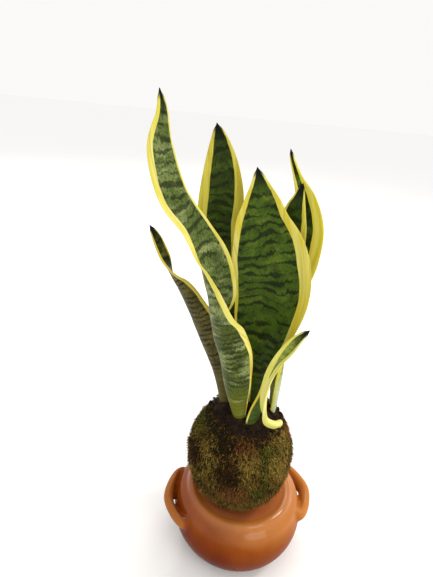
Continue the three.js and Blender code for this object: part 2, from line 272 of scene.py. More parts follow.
def lug_mesh(name, side):
    """A strap of clay bent into a loop, with flared ends pushed into the belly."""
    half = LUG_SPAN / 2
    middle = BELLY_RADIUS + LUG_OUT
    buried = wall_radius(LUG_HEIGHT, POT_WALL / 2)
    end = math.sqrt(buried * buried - half * half)
    path = np.array([
        (end - 1, -half - 1), (end + POT_WALL, -half), (middle - LUG_THICK / 2, -half * 0.6),
        (middle, 0), (middle - LUG_THICK / 2, half * 0.6), (end + POT_WALL, half),
        (end - 1, half + 1)])
    lean = math.radians(LUG_LEAN)
    turn = Matrix.Rotation(math.radians(LUG_TURN) + (math.pi if side < 0 else 0), 3, "Z")
    loops = []
    for i in range(LUG_RINGS + 1):
        share = i / LUG_RINGS
        x, y = catmull(path, share)
        ahead = catmull(path, min(1, share + 0.01)) - catmull(path, max(0, share - 0.01))
        out = Vector((ahead[1], -ahead[0], 0)).normalized()
        grow = 1 + LUG_FLARE * abs(2 * share - 1) ** 3
        ring = []
        for j in range(LUG_SIDES):
            angle = 2 * math.pi * j / LUG_SIDES
            wide = grow * LUG_THICK / 2 * math.cos(angle)
            tall = grow * LUG_DEEP / 2 * math.sin(angle)
            point = Vector((x, y, LUG_HEIGHT))
            point += out * (wide * math.cos(lean) + tall * math.sin(lean))
            point.z += tall * math.cos(lean) - wide * math.sin(lean)
            ring.append(turn @ point)
        loops.append(ring)
    return loops_to_mesh(name, loops)


def join_meshes(name, meshes):
    """Several meshes as one."""
    vertices, faces = [], []
    for mesh in meshes:
        start = len(vertices)
        vertices.extend(v.co[:] for v in mesh.vertices)
        faces.extend([tuple(start + i for i in p.vertices) for p in mesh.polygons])
    made = bpy.data.meshes.new(name)
    made.from_pydata(vertices, [], faces)
    return made


def scale_for(size):
    """The scale of a pattern whose grains are the given size in millimetres."""
    return 1 / (size * MM)


def apply_modifiers(obj):
    """Turns an object's modifiers into plain mesh."""
    graph = bpy.context.evaluated_depsgraph_get()
    mesh = bpy.data.meshes.new_from_object(obj.evaluated_get(graph))
    mesh.name = obj.name
    obj.modifiers.clear()
    obj.data = mesh
    mesh.polygons.foreach_set("use_smooth", [True] * len(mesh.polygons))


pot = new_object("glazed_pot", join_meshes("glazed_pot", [
    turned_mesh("pot_body", pot_profile(), POT_SIDES), lug_mesh("lug", 1), lug_mesh("lug", -1)]))
luting = pot.modifiers.new("luting", "REMESH")
luting.mode = "VOXEL"
luting.voxel_size = CLAY_VOXEL * MM
sponging = pot.modifiers.new("sponging", "SMOOTH")
sponging.factor = 0.5
sponging.iterations = SPONGE_PASSES
apply_modifiers(pot)
sunk = min(v.co.z for v in pot.data.vertices)
for vertex in pot.data.vertices:
    share = min(1.0, vertex.co.z / (FOOT_BAND * MM))
    vertex.co.z = max(0.0, vertex.co.z - sunk * (1 - share))

# Honey glaze over red clay: darker low down and on the left, partly where it is thick and partly as
# painted shade, glossy like glass at the rim, with slow ripples that break up its highlights.
glaze, tree = new_material("honey_glaze_on_red_clay")
place = add_node(tree, "ShaderNodeTexCoord").outputs["Object"]
parts = add_node(tree, "ShaderNodeSeparateXYZ", {"Vector": place})
runs = add_node(tree, "ShaderNodeTexNoise", {
    "Vector": add_node(tree, "ShaderNodeMapping", {"Vector": place, "Scale": (1, 1, 0.35)})
    .outputs[0], "Scale": scale_for(26.32), "Detail": 3.0, "Roughness": 0.55})
clouds = add_node(tree, "ShaderNodeTexNoise", {
    "Vector": place, "Scale": scale_for(71.43), "Detail": 3.0, "Roughness": 0.6})
height = add_node(tree, "ShaderNodeMapRange", {
    "Value": parts.outputs["Z"], "From Min": 0.0, "From Max": RIM_HEIGHT * MM})
# The dip was poured from the right, so the coat is thicker and darker low on the left; this
# darkening is also painted shade, on the side away from the lamps. The lean is the change over a
# metre of width, CLOUD how far the coat's unevenness moves it, and both are shares of the pot's
# height.
SHADE_LEAN, CLOUD = 3.2, 0.3
lean = add_node(tree, "ShaderNodeMath", {
    0: parts.outputs["X"], 1: SHADE_LEAN, 2: height.outputs[0]}, operation="MULTIPLY_ADD")
spread = add_node(tree, "ShaderNodeMath", {
    0: clouds.outputs["Fac"], 1: CLOUD, 2: lean.outputs[0]}, operation="MULTIPLY_ADD")
glaze_and_shade_level = add_node(tree, "ShaderNodeMath", {0: spread.outputs[0], 1: 0.8}, operation="MULTIPLY")
glaze_ramp = add_node(tree, "ShaderNodeValToRGB", {"Fac": glaze_and_shade_level.outputs[0]}, stops=[
    (0.02, "2f0802"), (0.25, "471103"), (0.5, "6a2506"), (0.74, "8c4410"), (0.92, "bb7532")])
thin = add_node(tree, "ShaderNodeValToRGB", {"Fac": runs.outputs["Fac"]},
                stops=[(0.3, "5f250c"), (0.7, "a95c22")])
glaze_mix = add_node(tree, "ShaderNodeMix", {
    "Factor": 0.18, 6: glaze_ramp.outputs["Color"], 7: thin.outputs["Color"]},
    data_type="RGBA")
# Inside the rim the coat is thin and the red clay shows through it; the lighter colour there is
# also painted light that lifts the shade under the moss ball.
level = add_node(tree, "ShaderNodeCombineXYZ", {
    "X": parts.outputs["X"], "Y": parts.outputs["Y"]})
from_axis = add_node(tree, "ShaderNodeVectorMath", {0: level.outputs[0]}, operation="LENGTH")
ledge_clay_and_light = add_node(tree, "ShaderNodeMapRange", {
    "Value": from_axis.outputs["Value"], "From Min": (RIM_RADIUS - 1) * MM,
    "From Max": (RIM_RADIUS - RIM_ROUND) * MM}, interpolation_type="SMOOTHSTEP")
glaze_mix = add_node(tree, "ShaderNodeMix", {
    "Factor": ledge_clay_and_light.outputs[0], 6: glaze_mix.outputs[2], 7: linear("dd7f48")},
    data_type="RGBA")
# It runs off the lugs while they are held up to drain, so they stay lighter than the belly; part of
# this lift is painted light on the lugs.
lug_glaze_and_light = add_node(tree, "ShaderNodeMapRange", {
    "Value": from_axis.outputs["Value"], "From Min": (BELLY_RADIUS + 0.3) * MM,
    "From Max": (BELLY_RADIUS + 4.5) * MM, "To Max": 0.48}, interpolation_type="SMOOTHSTEP")
glaze_mix = add_node(tree, "ShaderNodeMix", {
    "Factor": lug_glaze_and_light.outputs[0], 6: glaze_mix.outputs[2], 7: linear("c07c3a")},
    data_type="RGBA")
ripples = add_node(tree, "ShaderNodeTexNoise", {
    "Vector": place, "Scale": scale_for(11.11), "Detail": 2.0})
glaze_rough = add_node(tree, "ShaderNodeMapRange", {
    "Value": clouds.outputs["Fac"], "From Min": 0.3, "From Max": 0.7,
    "To Min": 0.22, "To Max": 0.34})
coat = add_node(tree, "ShaderNodeMapRange", {
    "Value": height.outputs[0], "From Min": 0.75, "From Max": 0.97, "To Min": 0.0, "To Max": 0.85})
glaze_bump = add_node(tree, "ShaderNodeBump", {
    "Height": ripples.outputs["Fac"], "Strength": 0.12, "Distance": 0.4 * MM})
finish_material(tree, add_node(tree, "ShaderNodeBsdfPrincipled", {
    "Base Color": glaze_mix.outputs[2], "Roughness": glaze_rough.outputs[0],
    "Normal": glaze_bump.outputs[0], "IOR": 1.5, "Specular IOR Level": 0.03,
    "Coat Weight": coat.outputs[0], "Coat Roughness": 0.09, "Coat IOR": 1.5}))
pot.data.materials.clear()
pot.data.materials.append(glaze)
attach(pot, "root")
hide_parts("pot")

# ---- leaves ----
# Seven stiff, waxy succulent leaves, each a hollow blade that rolls up towards its root. Green
# with dark jagged cross bands and yellow margins; all of it is pigment under a thin wax.

BALL_X, BALL_Y, BALL_RADIUS, BALL_HALF_HEIGHT, BALL_DIP = -5.0, -1.0, 50.0, 57.0, 1.0
BALL_Z = ledge_height(MOUTH_RADIUS) - BALL_DIP + BALL_HALF_HEIGHT
ROOT_DEPTH = 30.0
LEAF_THICK, LEAF_THIN, MARGIN_THICK = 3.4, 1.8, 1.2
LEAF_RINGS, LEAF_STRIPS = 150, 22

# Stations from root to tip, from the top of the moss ball: x, y, z, half width, the direction
# that the hollow side faces and the half angle of the roll, both in degrees.
# yellow: share of the length, width of the yellow on the left and on the right margin, with the
# hollow side in front. inner and outer are the greens of the two faces, pale the root's colour.
LEAVES = {
    "tall_wavy_leaf": dict(
        stations=[
            (-2, -7, -ROOT_DEPTH, 5, 80, 65), (-7, -17, -4, 7.5, 76, 72),
            (-14, -25, 29, 15.5, 70, 80), (-21, -29, 59, 20, 58, 80),
            (-31, -29, 79, 24, 34, 80), (-37, -27, 94, 28, 6, 80),
            (-40, -23, 112, 26, -15, 74), (-44, -15, 134, 18, -42, 60),
            (-55, -11, 156, 11.5, -58, 45), (-73, -8, 179, 11, -70, 35),
            (-82, -9, 209, 9, -75, 30), (-81, -11, 231, 4, -75, 30),
            (-83, -11, 245, 0.8, -75, 30)],
        yellow=[(0, 1.2, 0.4), (0.1, 2.6, 0.8), (0.3, 3.8, 2.2), (0.6, 4.2, 2.6),
                (0.7, 4.6, 0.9), (0.9, 3.8, 0.4), (0.98, 1.4, 0.2), (1, 0, 0)],
        inner="5f6f36", outer="4d591a", light="9aa668", dark="1d290f", pale="6d711c",
        gold=("c2ac26", "dacf52", "e9e080"), bands=0.9, grain=0.62, seed=1),
    "broad_front_leaf": dict(
        stations=[
            (10, -7, -ROOT_DEPTH, 7, 172, 70), (10, -12, -6, 15, 172, 80),
            (14, -5, 24, 18, 195, 76), (11, 5, 49, 24, 224, 66),
            (9, 8, 74, 28, 247, 50), (9, 9, 102, 31, 260, 40),
            (5, 8, 124, 31, 265, 32), (-1, 7, 144, 28, 267, 28),
            (-7, 5, 162, 21, 268, 25), (-10, 3, 177, 14, 270, 22),
            (-13, 2, 190, 6.5, 270, 20), (-16, 1, 201, 0.8, 270, 20)],
        yellow=[(0, 0.5, 0.4), (0.15, 0.6, 0.8), (0.28, 0.8, 3.5), (0.5, 1.8, 8),
                (0.68, 4, 10), (0.85, 5, 5.5), (0.95, 2.2, 1.6), (1, 0, 0)],
        inner="435a17", outer="5a6c30", light="617423", dark="121b08", pale="3a4f15",
        gold=("cdb427", "cfbe3a", "dad06c"), bands=0.95, grain=0.42, seed=2),
    "back_left_leaf": dict(
        stations=[
            (-2, 8, -ROOT_DEPTH, 5, -80, 62), (-4, 13, -6, 7, -80, 64),
            (-8, 18, 19, 9.5, -80, 56), (-15, 21, 49, 13, -80, 52),
            (-27, 25, 84, 15, -82, 44), (-35, 27, 119, 17.5, -85, 38),
            (-39, 27, 149, 18, -88, 34), (-39, 26, 174, 17.5, -90, 30),
            (-41, 25, 196, 13, -90, 26), (-44, 25, 213, 7, -90, 24),
            (-47, 25, 225, 0.8, -90, 24)],
        yellow=[(0, 2, 2), (0.3, 5, 5), (0.6, 8, 8), (0.8, 7.5, 7.5), (0.92, 4.5, 2.5),
                (0.98, 1.2, 0.6), (1, 0, 0)],
        inner="334213", outer="4b5a28", light="4c611e", dark="0f1606", pale="465620",
        # This leaf's yellows are darker than the front leaves': painted shade for a leaf at the
        # back.
        gold=("a08f26", "b8a934", "d2c650"), bands=0.8, grain=0.4, seed=3),
    "back_right_leaf": dict(
        stations=[
            (23, 3, -ROOT_DEPTH, 5, 180, 65), (26, 4, -5, 8, 180, 70),
            (27, 8, 24, 12, 188, 68), (26, 13, 49, 14, 200, 60),
            (25, 18, 79, 15, 222, 50), (27, 22, 109, 16, 238, 45),
            (31, 25, 131, 15.5, 245, 42), (32, 26, 154, 13, 248, 38),
            (26, 27, 176, 8.5, 250, 34), (17, 26, 192, 3.5, 250, 30),
            (11, 25, 204, 1.8, 250, 28), (8, 25, 212, 0.7, 250, 28)],
        yellow=[(0, 0.4, 0.6), (0.2, 0.8, 1.6), (0.32, 2.5, 5), (0.42, 4, 9), (0.7, 5, 11),
                (0.84, 4, 7), (0.92, 1, 1.5), (0.97, 0.3, 0.8), (1, 0, 0)],
        inner="2a3812", outer="8a9f58", light="5f7a34", dark="12190a", pale="cdd4a4",
        gold=("d6c632", "dfd03c", "ece26a"), bands=0.7, grain=0.4, seed=4),
    "right_inner_leaf": dict(
        stations=[
            (10, 10, -ROOT_DEPTH, 4, -95, 60), (11, 14, -6, 6, -98, 64),
            (12, 18, 24, 8, -100, 58), (13, 19, 54, 10.5, -102, 50),
            (15, 19, 89, 13, -105, 42), (17, 18, 124, 13.5, -108, 36),
            (17, 15, 152, 12.5, -110, 32), (17, 13, 170, 8.5, -110, 28),
            (18, 12, 182, 4, -110, 26), (19, 12, 191, 0.7, -110, 26)],
        yellow=[(0, 1.5, 2), (0.3, 3, 4), (0.6, 3, 5.5), (0.85, 2, 4.5), (0.95, 0.8, 1.2),
                (1, 0, 0)],
        inner="334714", outer="4b5a28", light="4a611c", dark="101707", pale="556824",
        gold=("a89a2c", "c8ba38", "dcd05c"), bands=0.7, grain=0.4, seed=5),
    "curled_young_leaf": dict(
        stations=[
            (29, -2, -ROOT_DEPTH, 4, 150, 70), (32, -9, -15, 4, 150, 80),
            (25, -19, -8, 4.2, 150, 85), (17, -25, 1, 4.2, 160, 85),
            (13, -27, 13, 4.2, 190, 85), (11, -27, 29, 4.2, 215, 80),
            (12, -26, 46, 4.6, 232, 76), (17, -24, 61, 5.2, 240, 68),
            (24, -23, 73, 5.6, 238, 60), (30, -22, 82, 4, 235, 55),
            (37, -21, 89, 0.8, 235, 50)],
        yellow=[(0, 12, 12), (0.42, 12, 12), (0.55, 6, 4.5), (0.8, 3.5, 2.2), (0.93, 1, 0.6),
                (1, 0, 0)],
        inner="8c9a40", outer="47602c", light="9aa549", dark="22321a", pale="c6c663",
        gold=("ccc95c", "d6cc4c", "e6e08a"), bands=0.4, grain=0.4, seed=6),
    "left_low_leaf": dict(
        stations=[
            (-14, -1, -ROOT_DEPTH, 4.5, 80, 62), (-18, 2, -5, 7.5, 80, 62),
            (-25, 5, 24, 10.5, 75, 55), (-38, 9, 52, 13, 66, 50),
            (-50, 9, 77, 12.5, 60, 48), (-62, 7, 99, 9.5, 52, 45),
            (-70, 5, 110, 7, 34, 45), (-75, 3, 120, 5.5, 0, 45),
            (-79, 1, 131, 4.5, -50, 40), (-84, 0, 144, 3.4, -75, 34),
            (-89, -1, 153, 0.7, -75, 30)],
        yellow=[(0, 0.8, 0.4), (0.3, 2.2, 0.6), (0.6, 2.6, 1), (0.85, 1.5, 0.5), (0.95, 0.8, 0.2),
                (1, 0, 0)],
        inner="2a3b14", outer="575026", light="6c642e", dark="161708", pale="544d22",
        gold=("c4ae30", "ccb838", "dccb58"), bands=1.0, grain=0.5, seed=7),
}


def leaf_mesh(name, leaf):
    """One closed blade along its stations. Each point keeps its distances along and across."""
    rows = np.array(leaf["stations"], dtype=float)
    rows[:, 0] += BALL_X
    rows[:, 1] += BALL_Y
    rows[:, 2] += BALL_Z + BALL_HALF_HEIGHT
    shares = [i / LEAF_RINGS for i in range(LEAF_RINGS + 1)]
    spine = [Vector(catmull(rows[:, :3], s)) for s in shares]
    along = [0.0]
    for a, b in zip(spine, spine[1:]):
        along.append(along[-1] + (b - a).length)
    marks = [m[0] for m in leaf["yellow"]]
    ripple = 0.12 + 0.08 * (leaf["seed"] % 3)  # some leaves ripple more than others
    loops, tags = [], []
    for i, share in enumerate(shares):
        half, face, cup = catmull(rows[:, 3:], share)
        half *= min(1, 0.25 + (1 - share) / 0.04)  # the last twenty-fifth runs to a point
        ahead = Vector(catmull(rows[:, :3], min(1, share + 1e-3)))
        ahead -= Vector(catmull(rows[:, :3], max(0, share - 1e-3)))
        ahead.normalize()
        facing = math.radians(face)
        hollow = Vector((math.cos(facing), math.sin(facing), 0))
        hollow = (hollow - ahead * hollow.dot(ahead)).normalized()
        side = ahead.cross(hollow)
        roll = math.radians(cup)
        bend = half / roll
        middle = LEAF_THICK + (LEAF_THIN - LEAF_THICK) * share
        done = along[i] / along[-1]
        left = np.interp(done, marks, [m[1] for m in leaf["yellow"]])
        right = np.interp(done, marks, [m[2] for m in leaf["yellow"]])
        steps = [(2 * j / LEAF_STRIPS - 1, -1) for j in range(LEAF_STRIPS + 1)]
        steps += [(1, 0)]
        steps += [(1 - 2 * j / LEAF_STRIPS, 1) for j in range(LEAF_STRIPS + 1)]
        steps += [(-1, 0)]
        ring = []
        for s, skin in steps:
            full = middle + (MARGIN_THICK - middle) * s * s
            thick = min(full, 0.5 * half + 0.4) / 2
            if abs(s) == 1:
                thick *= 0.5
            # The margins ripple, in long waves and short ones, and the middle stays smooth.
            wave = ripple * abs(s) ** 3 * min(1, share * 3) * min(1, half / 10)
            wave *= math.sin(along[i] / 6.5 + s * 2 + leaf["seed"]) + 0.6 * math.sin(
                along[i] / 2.9 + s)
            reach = bend + skin * thick
            angle = roll * s
            point = spine[i] + side * (reach * math.sin(angle))
            point += hollow * (bend - reach * math.cos(angle) + wave)
            if skin == 0:
                rim = side * math.cos(angle) + hollow * math.sin(angle)
                point += rim * (thick if s > 0 else -thick)
            ring.append(point)
            gold = max(left - half * (1 + s), right - half * (1 - s))
            tags.append((along[i], half * s, along[-1] - along[i], gold, 1 if skin < 0 else 0))
        loops.append(ring)
    mesh = loops_to_mesh(name, loops)
    for column, tag in enumerate(("along", "across", "to_tip", "gold", "hollow")):
        layer = mesh.attributes.new(tag, "FLOAT", "POINT")
        layer.data.foreach_set("value", [t[column] for t in tags])
    return mesh


def leaf_material(name, leaf):
    """Waxed leaf skin. Millimetre values come from the mesh, so every pattern has a real size."""
    made, tree = new_material(name)
    tag = {t: add_node(tree, "ShaderNodeAttribute", attribute_name=t).outputs["Fac"]
           for t in ("along", "across", "to_tip", "gold", "hollow")}

    def math_of(operation, *values, clamp=False):
        return add_node(tree, "ShaderNodeMath", dict(enumerate(values)), operation=operation,
                        use_clamp=clamp).outputs[0]

    def pattern(per_mm_across, per_mm_along, detail, shift, phase=None):
        """Noise whose grains have a set size across and along the blade."""
        vector = add_node(tree, "ShaderNodeCombineXYZ", {
            "X": math_of("MULTIPLY", tag["across"], per_mm_across),
            "Y": math_of("MULTIPLY", phase or tag["along"], per_mm_along),
            "Z": math_of("MULTIPLY_ADD", tag["hollow"], 7.0, leaf["seed"] * 3.7 + shift)})
        return add_node(tree, "ShaderNodeTexNoise", {
            "Vector": vector.outputs[0], "Scale": 1.0, "Detail": detail,
            "Roughness": 0.55}).outputs["Fac"]

    def mix(factor, a, b):
        return add_node(tree, "ShaderNodeMix", {"Factor": factor, 6: a, 7: b},
                        data_type="RGBA").outputs[2]

    def step(value, low, high):
        return add_node(tree, "ShaderNodeMapRange", {
            "Value": value, "From Min": low, "From Max": high},
            interpolation_type="SMOOTHSTEP").outputs[0]

    # Cross bars: short dashes in rows 5 mm apart outside and 8 mm apart inside, wandering
    # across the blade, with small teeth where the pigment follows the fibres.
    teeth = pattern(0.8, 0.1, 2.0, 0.0)
    drift = pattern(0.06, 0.03, 1.0, 1.3)
    moved = math_of("MULTIPLY_ADD", math_of("SUBTRACT", teeth, 0.5), 5.0, tag["along"])
    moved = math_of("MULTIPLY_ADD", math_of("SUBTRACT", drift, 0.5),
                    math_of("MULTIPLY_ADD", tag["hollow"], 9.0, 6.0), moved)
    row = math_of("DIVIDE", moved, math_of("MULTIPLY_ADD", tag["hollow"], 3.2, 4.8))
    from_row = math_of("MULTIPLY", math_of("ABSOLUTE", math_of(
        "SUBTRACT", math_of("FRACT", row), 0.5)), 8.0)
    heavy = math_of("MULTIPLY", math_of("SUBTRACT", pattern(0.07, 0.12, 3.0, 2.1), 0.36), 9.0)
    bars = step(math_of("SUBTRACT", heavy, from_row), -0.5, 0.7)
    light_bars = pattern(0.05, 0.11, 2.0, 4.9, moved)
    mottle = pattern(0.7, 0.45, 4.0, 6.2)
    blotch = pattern(0.12, 0.1, 3.0, 7.7)
    green = mix(tag["hollow"], linear(leaf["outer"]), linear(leaf["inner"]))
    green = mix(math_of("MULTIPLY", step(light_bars, 0.45, 0.66), 0.7), green,
                linear(leaf["light"]))
    green = mix(math_of("MULTIPLY", step(blotch, 0.5, 0.68), 0.45), green, linear(leaf["dark"]))
    green = mix(math_of("MULTIPLY", step(mottle, 0.46, 0.66), leaf["grain"]), green,
                linear(leaf["dark"]))
    green = mix(math_of("MULTIPLY", bars, 0.85 * leaf["bands"]), green, linear(leaf["dark"]))
    root = step(tag["along"], ROOT_DEPTH + 45, ROOT_DEPTH + 8)
    green = mix(math_of("MULTIPLY", root, 0.7), green, linear(leaf["pale"]))
    green = mix(step(tag["to_tip"], 22, 3), green, linear("10170b"))
    ragged = math_of("MULTIPLY_ADD", math_of("SUBTRACT", pattern(0.4, 0.05, 2.0, 8.8), 0.5), 1.6,
                     tag["gold"])
    deep = mix(step(tag["along"], ROOT_DEPTH + 120, ROOT_DEPTH + 50), linear(leaf["gold"][1]),
               linear(leaf["gold"][0]))
    yellow = mix(step(pattern(0.25, 0.02, 2.0, 9.4), 0.35, 0.65), deep, linear(leaf["gold"][2]))
    yellow = mix(math_of("MULTIPLY", step(pattern(0.5, 0.012, 1.0, 11.0), 0.58, 0.7), 0.4), yellow,
                 linear("a3a044"))
    colour = mix(step(ragged, -0.3, 0.3), green, yellow)
    colour = mix(step(tag["to_tip"], 8, 2), colour, linear("0f150a"))
    ribs = pattern(1.6, 0.03, 2.0, 12.0)
    relief = math_of("MULTIPLY_ADD", bars, 0.3, ribs)
    bump = add_node(tree, "ShaderNodeBump", {
        "Height": relief, "Strength": 0.25, "Distance": 0.3 * MM})
    finish_material(tree, add_node(tree, "ShaderNodeBsdfPrincipled", {
        "Base Color": colour, "Normal": bump.outputs[0], "IOR": 1.38, "Specular IOR Level": 0.13,
        "Roughness": add_node(tree, "ShaderNodeMapRange", {
            "Value": mottle, "To Min": 0.36, "To Max": 0.52}).outputs[0]}))
    return made


for name, leaf in LEAVES.items():
    blade = new_object(name + "_blade", leaf_mesh(name + "_blade", leaf))
    blade.data.materials.append(leaf_material(name + "_skin", leaf))
    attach(blade, "root")
    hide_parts(name)

# ---- moss ball ----
# Sheet moss wrapped and pressed round the root ball: a lumpy brown mat, covered in short strands
# that hang down, green where it is alive, gold and russet where it has dried.

SKIN_THICK, CROWN_RADIUS, FIT_GAP = 6.0, 30.0, 0.3
MAT_SINK, MAT_LUMPS, STRAND_SINK = 3.2, 1.6, 2.6
BALL_CENTRE = Vector((BALL_X, BALL_Y, BALL_Z))
BALL_SIDES = 160


def lumps(point, size, seed):
    """Smooth noise, -1 to 1, with grains of the given size in millimetres."""
    return noise.noise(Vector(point) / size + Vector((seed * 17.3, seed * 5.1, seed * 9.7)))


def above_ledge(point, gap):
    """Lifts a point that would lie in the pot's ledge."""
    r = math.hypot(point.x, point.y)
    if MOUTH_RADIUS - 2 < r < RIM_RADIUS + RIM_ROUND:
        point.z = max(point.z, ledge_height(r) + gap)
    return point


def ball_loops(low, high, inset, rough, seed, rings):
    """Rings on the ball from polar angle low to high, measured up from its lowest point."""
    loops = []
    for i in range(rings):
        polar = math.radians(low + (high - low) * i / (rings - 1))
        ring = []
        for j in range(BALL_SIDES):
            turn = 2 * math.pi * j / BALL_SIDES
            way = Vector((math.sin(polar) * math.cos(turn), math.sin(polar) * math.sin(turn),
                          -math.cos(polar)))
            point = BALL_CENTRE + Vector((
                way.x * (BALL_RADIUS - inset), way.y * (BALL_RADIUS - inset),
                way.z * (BALL_HALF_HEIGHT - inset)))
            swell = lumps(point, 16, seed) * 0.6 + lumps(point, 6, seed + 1) * 0.4
            swell += lumps(point, 2.6, seed + 2) * 0.25
            ring.append(above_ledge(point + way * (swell * rough), FIT_GAP))
        loops.append(ring)
    return loops


CROWN_ANGLE = 180 - math.degrees(math.asin(CROWN_RADIUS / BALL_RADIUS))
outside = ball_loops(4, CROWN_ANGLE, MAT_SINK, MAT_LUMPS, 1, 90)
inside = ball_loops(4, CROWN_ANGLE, SKIN_THICK, 0.0, 1, 30)
moss_mat = new_object("moss_mat", loops_to_mesh("moss_mat", outside + inside[::-1], joined=True))

# The brown, dead layer that the strands grow from: damp, gritty and without gloss.
mat_skin, tree = new_material("damp_moss_mat")
place = add_node(tree, "ShaderNodeTexCoord").outputs["Object"]
patches = add_node(tree, "ShaderNodeTexNoise", {
    "Vector": place, "Scale": scale_for(14.29), "Detail": 4.0, "Roughness": 0.65})
grit = add_node(tree, "ShaderNodeTexNoise", {
    "Vector": place, "Scale": scale_for(1.667), "Detail": 3.0, "Roughness": 0.7})
mat_ramp = add_node(tree, "ShaderNodeValToRGB", {"Fac": patches.outputs["Fac"]},
                    stops=[(0.3, "171008"), (0.45, "241a0d"), (0.58, "26260f"), (0.7, "33331a")])
mat_bump = add_node(tree, "ShaderNodeBump", {
    "Height": grit.outputs["Fac"], "Strength": 0.8, "Distance": 1.0 * MM})
finish_material(tree, add_node(tree, "ShaderNodeBsdfPrincipled", {
    "Base Color": mat_ramp.outputs["Color"], "Roughness": 0.95, "Normal": mat_bump.outputs[0],
    "Specular IOR Level": 0.2}))
moss_mat.data.materials.append(mat_skin)
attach(moss_mat, "root")
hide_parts("moss_skin")

# Strands. Each is a thin three-sided spike with its own tint, darker at its root, and thicker
# than a real one so that it shows.

LEAF_ROOTS = []
for leaf in LEAVES.values():
    rows = np.array(leaf["stations"], dtype=float)
    for i in range(40):
        x, y, z, half = catmull(rows[:, :4], i / 100)
        LEAF_ROOTS.append((x + BALL_X, y + BALL_Y, z + BALL_Z + BALL_HALF_HEIGHT, half))
LEAF_ROOTS = np.array(LEAF_ROOTS)


def clear_of_leaves(point, room):
    """True where no leaf's root is within this many millimetres."""
    gaps = np.linalg.norm(LEAF_ROOTS[:, :3] - np.array(point), axis=1) - LEAF_ROOTS[:, 3] * 0.75
    return gaps.min() > room


def strands_mesh(name, strands):
    """strands: rows of root point, first and last direction, length, width and colour."""
    roots = np.array([s[0] for s in strands])
    first = np.array([s[1] for s in strands])
    last = np.array([s[2] for s in strands])
    length = np.array([s[3] for s in strands])[:, None]
    width = np.array([s[4] for s in strands])[:, None]
    tint = np.array([s[5] for s in strands])
    bend = roots + first * length * 0.5
    tips = bend + last * length * 0.5
    across = np.cross(first, last + np.array([0.013, 0.027, 0.019]))
    across /= np.linalg.norm(across, axis=1, keepdims=True)
    shares = (0.0, 0.4, 0.75)
    columns, shades = [], []
    for share in shares:
        spot = roots * (1 - share) ** 2 + bend * 2 * share * (1 - share) + tips * share ** 2
        ahead = first * (1 - share) + last * share
        up = np.cross(across, ahead)
        up /= np.linalg.norm(up, axis=1, keepdims=True)
        size = width / 2 * (1 - share) ** 0.5
        for turn in (90, 210, 330):
            angle = math.radians(turn)
            columns.append(spot + across * size * math.cos(angle) + up * size * math.sin(angle))
            shades.append(0.62 + 0.65 * share)
    columns.append(tips)
    shades.append(1.3)
    count, per = len(strands), len(columns)
    points = np.stack(columns, 1).reshape(-1, 3)
    ground = np.hypot(points[:, 0], points[:, 1])
    lowest = ledge_height(ground) + FIT_GAP
    near = (ground > MOUTH_RADIUS - 3) & (ground < RIM_RADIUS + RIM_ROUND)
    points[:, 2] = np.where(near, np.maximum(points[:, 2], lowest), points[:, 2])
    faces = [(2, 1, 0)]
    for ring in range(len(shares) - 1):
        a = ring * 3
        for j in range(3):
            k = (j + 1) % 3
            faces += [(a + j, a + k, a + 3 + k), (a + j, a + 3 + k, a + 3 + j)]
    a = (len(shares) - 1) * 3
    faces += [(a + j, a + (j + 1) % 3, per - 1) for j in range(3)]
    index = (np.array(faces)[None] + np.arange(count)[:, None, None] * per).reshape(-1, 3)
    mesh = bpy.data.meshes.new(name)
    mesh.vertices.add(count * per)
    mesh.vertices.foreach_set("co", (points * MM).ravel())
    mesh.loops.add(index.size)
    mesh.loops.foreach_set("vertex_index", index.ravel())
    mesh.polygons.add(len(index))
    mesh.polygons.foreach_set("loop_start", np.arange(len(index)) * 3)
    mesh.polygons.foreach_set("use_smooth", np.ones(len(index), dtype=bool))
    mesh.update()
    colours = np.ones((count, per, 4))
    colours[:, :, :3] = tint[:, None, :3] * np.array(shades)[None, :, None]
    layer = mesh.color_attributes.new("tint", "FLOAT_COLOR", "POINT")
    layer.data.foreach_set("color", np.minimum(colours, 1.0).ravel())
    return mesh


def strand_material(name, roughness):
    """Dry moss leaves: no gloss, each strand in its own tint with a fine speckle."""
    made, tree = new_material(name)
    tint = add_node(tree, "ShaderNodeAttribute", attribute_name="tint")
    speckle = add_node(tree, "ShaderNodeTexNoise", {
        "Vector": add_node(tree, "ShaderNodeTexCoord").outputs["Object"],
        "Scale": scale_for(1.111), "Detail": 2.0})
    shade = add_node(tree, "ShaderNodeMapRange", {
        "Value": speckle.outputs["Fac"], "From Min": 0.3, "From Max": 0.7,
        "To Min": 0.75, "To Max": 1.2})
    colour = add_node(tree, "ShaderNodeVectorMath", {
        0: tint.outputs["Color"], "Scale": shade.outputs[0]}, operation="SCALE")
    finish_material(tree, add_node(tree, "ShaderNodeBsdfPrincipled", {
        "Base Color": colour.outputs[0], "Roughness": roughness, "Specular IOR Level": 0.08}))
    return made


MOSS_TINTS = {
    "soil": ("36240f", "4a3118", "24180a"), "russet": ("865629", "996a36", "6c431e"),
    "gold": ("9a7f36", "b3994e", "846b2a"), "olive": ("675d1d", "786e27", "514a16"),
    "green": ("55591b", "676a26", "434615")}
